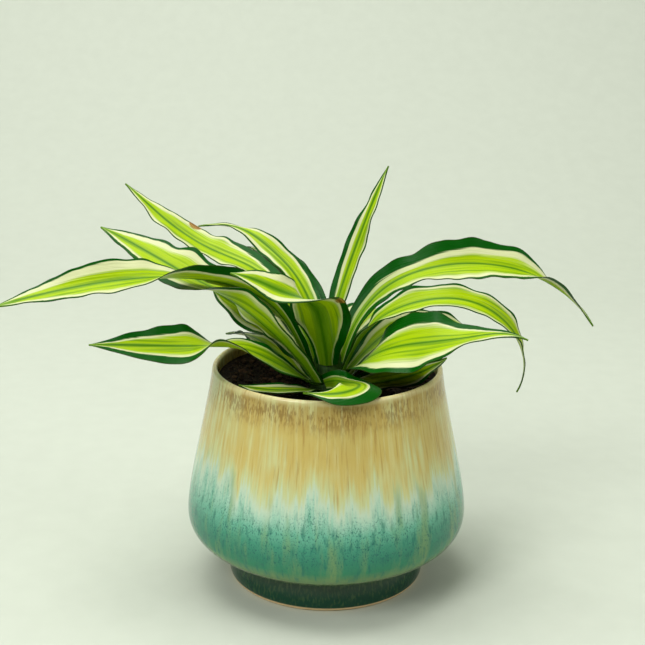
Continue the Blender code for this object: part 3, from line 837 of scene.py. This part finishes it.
def leaf_blade(name, number, leaf):
    """One blade, with its stripes and its place in the leaf kept on its points."""
    rows = max(20, round(leaf.length / LEAF_ROW_LENGTH))
    columns = BANDS_ACROSS * COLUMNS_PER_BAND
    bpy.ops.mesh.primitive_grid_add(x_subdivisions=rows, y_subdivisions=columns, size=1.0,
                                    location=(0.0, 0.0, 0.0))
    piece = bpy.context.active_object
    piece.name = name
    mesh = piece.data
    mesh.name = name
    flat = np.empty(len(mesh.vertices) * 3)
    mesh.vertices.foreach_get("co", flat)
    flat = flat.reshape(-1, 3)
    share = flat[:, 0] + 0.5
    band = flat[:, 1] * BANDS_ACROSS
    across = stripe_place(leaf, share, band)
    mesh.vertices.foreach_set("co", (blade_points(leaf, share, across) * MM).ravel())

    out = across * blade_width(leaf, share) / 2
    scorch = np.zeros_like(share)
    if leaf.scorch:
        spot, side = leaf.scorch
        near_spot = np.exp(-((share - spot) / SPOT_REACH) ** 2)
        scorch = near_spot * np.clip((across * side - 0.6) / 0.3, 0, 1)
    values = {"band": np.abs(band), "share": share, "scorch": scorch}
    for label, numbers in values.items():
        stored = mesh.attributes.new(label, "FLOAT", "POINT")
        stored.data.foreach_set("value", numbers.astype(np.float32))
    place = np.stack([share * leaf.length, out, np.full_like(share, PATTERN_SPACING * number)], 1)
    stored = mesh.attributes.new("blade", "FLOAT_VECTOR", "POINT")
    stored.data.foreach_set("vector", place.astype(np.float32).ravel())

    thick = piece.vertex_groups.new(name="thick")
    midrib_swell = np.exp(-(out / MIDRIB_SWELL_WIDTH) ** 2)
    for index, swell in enumerate(midrib_swell):
        thick.add([index], float(swell), "REPLACE")
    solid = piece.modifiers.new("blade", "SOLIDIFY")
    solid.thickness = LEAF_THICKNESS * MM
    solid.offset = 0.0
    solid.vertex_group = thick.name
    solid.thickness_vertex_group = LEAF_EDGE_THICKNESS / LEAF_THICKNESS
    solid.material_offset = 1
    bpy.ops.object.modifier_apply(modifier=solid.name)
    bpy.ops.object.shade_smooth_by_angle(angle=math.radians(40.0))
    return piece


def stripes_group():
    """The blade's stripes, from its stored place: colour, roughness and lengthwise ridges."""
    group = bpy.data.node_groups.new("leaf_stripes", "ShaderNodeTree")
    for label in ("Vein", "Midrib", "Lime", "Deep_and_base_shade", "Cream", "Margin", "Rim"):
        group.interface.new_socket(label, in_out="INPUT", socket_type="NodeSocketColor")
    for label in ("Band", "Share", "Scorch", "Streaks"):
        group.interface.new_socket(label, in_out="INPUT", socket_type="NodeSocketFloat")
    group.interface.new_socket("Blade", in_out="INPUT", socket_type="NodeSocketVector")
    group.interface.new_socket("Color", in_out="OUTPUT", socket_type="NodeSocketColor")
    group.interface.new_socket("Roughness", in_out="OUTPUT", socket_type="NodeSocketFloat")
    group.interface.new_socket("Height", in_out="OUTPUT", socket_type="NodeSocketFloat")
    given = group.nodes.new("NodeGroupInput").outputs
    made = group.nodes.new("NodeGroupOutput").inputs

    fibres = grain(group, given["Blade"], 1.0, (0.018, 1.7, 1.0), detail=2.0)
    bands = grain(group, given["Blade"], 1.0, (0.02, 0.55, 1.0), shift=9.0, detail=1.0)
    wander = grain(group, given["Blade"], 1.0, (0.05, 0.0, 1.0), shift=5.0, detail=1.0)
    fray = maths(group, "MULTIPLY_ADD", maths(group, "SUBTRACT", fibres, 0.5), 0.55, given["Band"])
    band = maths(group, "MULTIPLY_ADD", maths(group, "SUBTRACT", wander, 0.5), 0.45, fray)

    # Towards the leaf's base the lime turns to deep green: partly the base's own greener colour, partly
    # painted shade where the leaves crowd round the stem.
    base = below(group, given["Share"], 0.05, 0.45)
    lime = blended(group, product(group, base, 0.75), given["Lime"], given["Deep_and_base_shade"])
    streak = product(group, above(group, bands, 0.45, 0.7), given["Streaks"])
    lime = blended(group, streak, lime, given["Deep_and_base_shade"])
    threads = product(group, above(group, fibres, 0.52, 0.72), 0.09)
    lime = blended(group, threads, lime, given["Cream"])

    middle = blended(group, above(group, band, 0.1, 0.6), given["Vein"], given["Midrib"])
    colour = blended(group, above(group, band, 0.6, 1.25), middle, lime)
    past_base = maths(group, "SUBTRACT", 1.0, product(group, base, 0.6))
    cream = product(group, above(group, band, 1.7, 2.15), past_base)
    colour = blended(group, cream, colour, given["Cream"])
    colour = blended(group, above(group, band, 2.88, 3.1), colour, given["Margin"])
    rim = product(group, above(group, given["Band"], 3.88, 3.97), 0.6)
    colour = blended(group, rim, colour, given["Rim"])
    tip = product(group, above(group, given["Share"], 0.94, 1.0), 0.6)
    colour = blended(group, tip, colour, given["Midrib"])
    dry = blended(group, above(group, fibres, 0.4, 0.6), linear(96, 58, 14), linear(180, 142, 66))
    ragged = maths(group, "MULTIPLY_ADD", maths(group, "SUBTRACT", wander, 0.5), 0.8, given["Scorch"])
    colour = blended(group, above(group, ragged, 0.3, 0.55), colour, dry)
    group.links.new(colour, made["Color"])

    rough = maths(group, "MULTIPLY_ADD", fibres, 0.16, 0.26)
    group.links.new(rough, made["Roughness"])
    veins = grain(group, given["Blade"], 1.0, (0.01, 2.6, 1.0), shift=2.0, detail=1.0)
    group.links.new(maths(group, "MULTIPLY_ADD", bands, 0.8, veins), made["Height"])
    return group


leaf_stripes = stripes_group()


def leaf_material(name, colours, streaks, gloss):
    """One face of the blades: the stripes in this face's colours."""
    made, tree, shader = new_material(name)
    stripes = tree.nodes.new("ShaderNodeGroup")
    stripes.node_tree = leaf_stripes
    for label, colour in colours.items():
        stripes.inputs[label].default_value = colour
    stripes.inputs["Streaks"].default_value = streaks
    for label, stored in (("Band", "band"), ("Share", "share"), ("Scorch", "scorch")):
        reader = tree.nodes.new("ShaderNodeAttribute")
        reader.attribute_name = stored
        tree.links.new(reader.outputs["Fac"], stripes.inputs[label])
    reader = tree.nodes.new("ShaderNodeAttribute")
    reader.attribute_name = "blade"
    tree.links.new(reader.outputs["Vector"], stripes.inputs["Blade"])
    tree.links.new(stripes.outputs["Color"], shader.inputs["Base Color"])
    rough = maths(tree, "ADD", stripes.outputs["Roughness"], gloss)
    tree.links.new(rough, shader.inputs["Roughness"])
    tree.links.new(raised(tree, stripes.outputs["Height"], 0.00035, 0.6), shader.inputs["Normal"])
    shader.inputs["Specular IOR Level"].default_value = 0.11
    return made


# In each face the deep green serves the darker lengthwise streaks, and near the leaf's base also
# painted shade.
top_face = leaf_material("leaf_upper_face", {
    "Vein": linear(66, 116, 0), "Midrib": linear(104, 146, 18), "Lime": linear(158, 188, 0),
    "Deep_and_base_shade": linear(80, 130, 0), "Cream": linear(206, 210, 160), "Margin": linear(0, 76, 0),
    "Rim": linear(50, 56, 16),
}, streaks=0.7, gloss=0.0)
under_face = leaf_material("leaf_under_face", {
    "Vein": linear(2, 36, 0), "Midrib": linear(14, 56, 0), "Lime": linear(126, 166, 0),
    "Deep_and_base_shade": linear(66, 114, 0), "Cream": linear(196, 206, 118), "Margin": linear(0, 62, 0),
    "Rim": linear(46, 54, 16),
}, streaks=0.6, gloss=0.12)

for number, (place, leaf) in enumerate(LEAVES.items()):
    blade = leaf_blade("blade_" + place, number, leaf)
    blade.data.materials.append(top_face)
    blade.data.materials.append(under_face)
    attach(blade, "root")
    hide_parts("leaf_" + place)


# Floor and light. One sheet of pale paper that lies under the pot and sweeps up behind it, a
# large soft light overhead, one from the front left and a weak one from the right.
PAPER_SIZE = 14.0
PAPER_BACK = 1.5
PAPER_RISE = 3.0
PAPER_BEND = 0.9
PAPER_DROP = 0.0001
bpy.ops.mesh.primitive_plane_add(size=PAPER_SIZE,
                                 location=(0.0, PAPER_BACK - PAPER_SIZE / 2, -PAPER_DROP))
floor = bpy.context.active_object
floor.name = "paper_sweep"
bpy.ops.object.transform_apply(location=True)
for edge in floor.data.edges:
    edge.select = all(floor.data.vertices[end].co.y > 0.0 for end in edge.vertices)
for corner in floor.data.vertices:
    corner.select = corner.co.y > 0.0
for face in floor.data.polygons:
    face.select = False
bpy.ops.object.mode_set(mode="EDIT")
bpy.ops.mesh.select_mode(type="EDGE")
bpy.ops.mesh.extrude_region_move(TRANSFORM_OT_translate={"value": (0.0, 0.0, PAPER_RISE)})
bpy.ops.object.mode_set(mode="OBJECT")
for edge in floor.data.edges:
    ends = [floor.data.vertices[end].co for end in edge.vertices]
    edge.select = all(end.y > 0.0 and end.z < 0.1 for end in ends)
bpy.ops.object.mode_set(mode="EDIT")
bpy.ops.mesh.bevel(offset=PAPER_BEND, segments=20)
bpy.ops.object.mode_set(mode="OBJECT")
bpy.ops.object.shade_smooth_by_angle(angle=math.radians(50.0))
floor_material, floor_tree, floor_shader = new_material("pale_paper")
floor_place = floor_tree.nodes.new("ShaderNodeTexCoord").outputs["Object"]
fibres = grain(floor_tree, floor_place, 60.0, detail=4.0)
floor_tree.links.new(colour_steps(floor_tree, fibres, [(0.3, linear(193, 199, 184)),
                                                       (0.7, linear(196, 202, 187))]),
                     floor_shader.inputs["Base Color"])
floor_shader.inputs["Roughness"].default_value = 0.7
floor.data.materials.append(floor_material)

world = bpy.data.worlds.new("soft_room")
bpy.context.scene.world = world
world.use_nodes = True
world.node_tree.nodes["Background"].inputs["Color"].default_value = linear(236, 240, 232)
world.node_tree.nodes["Background"].inputs["Strength"].default_value = 0.31


LIGHT_AIM = Vector((0.0, 0.0, 0.12))


def soft_light(name, place, size, power):
    """A square area light aimed at the plant."""
    bpy.ops.object.light_add(type="AREA", location=place)
    lamp = bpy.context.active_object
    lamp.name = name
    lamp.data.size = size
    lamp.data.energy = power
    lamp.rotation_euler = (LIGHT_AIM - lamp.location).to_track_quat("-Z", "Y").to_euler()


soft_light("overhead", (-0.3, 0.2, 2.0), 1.4, 36.0)
soft_light("front_left", (-1.0, -1.3, 1.5), 0.9, 24.0)
soft_light("right_fill", (1.6, -0.6, 1.1), 1.0, 8.0)


# Camera. Where the photograph was taken from: in front, 34 cm above the pot's foot, looking
# down a little, with the slight clockwise lean of the picture.
CAMERA_PLACE = (-0.003, -0.668, 0.343)
CAMERA_TILT_DOWN = 16.22
CAMERA_ROLL = 0.48
CAMERA_LENS = 69.8
bpy.ops.object.camera_add(location=CAMERA_PLACE)
camera = bpy.context.active_object
camera.rotation_mode = "ZYX"
camera.rotation_euler = (math.radians(90.0 - CAMERA_TILT_DOWN), 0.0, math.radians(CAMERA_ROLL))
camera.data.sensor_width = 36.0
camera.data.lens = CAMERA_LENS
bpy.context.scene.camera = camera
bpy.context.scene.view_settings.view_transform = "Standard"
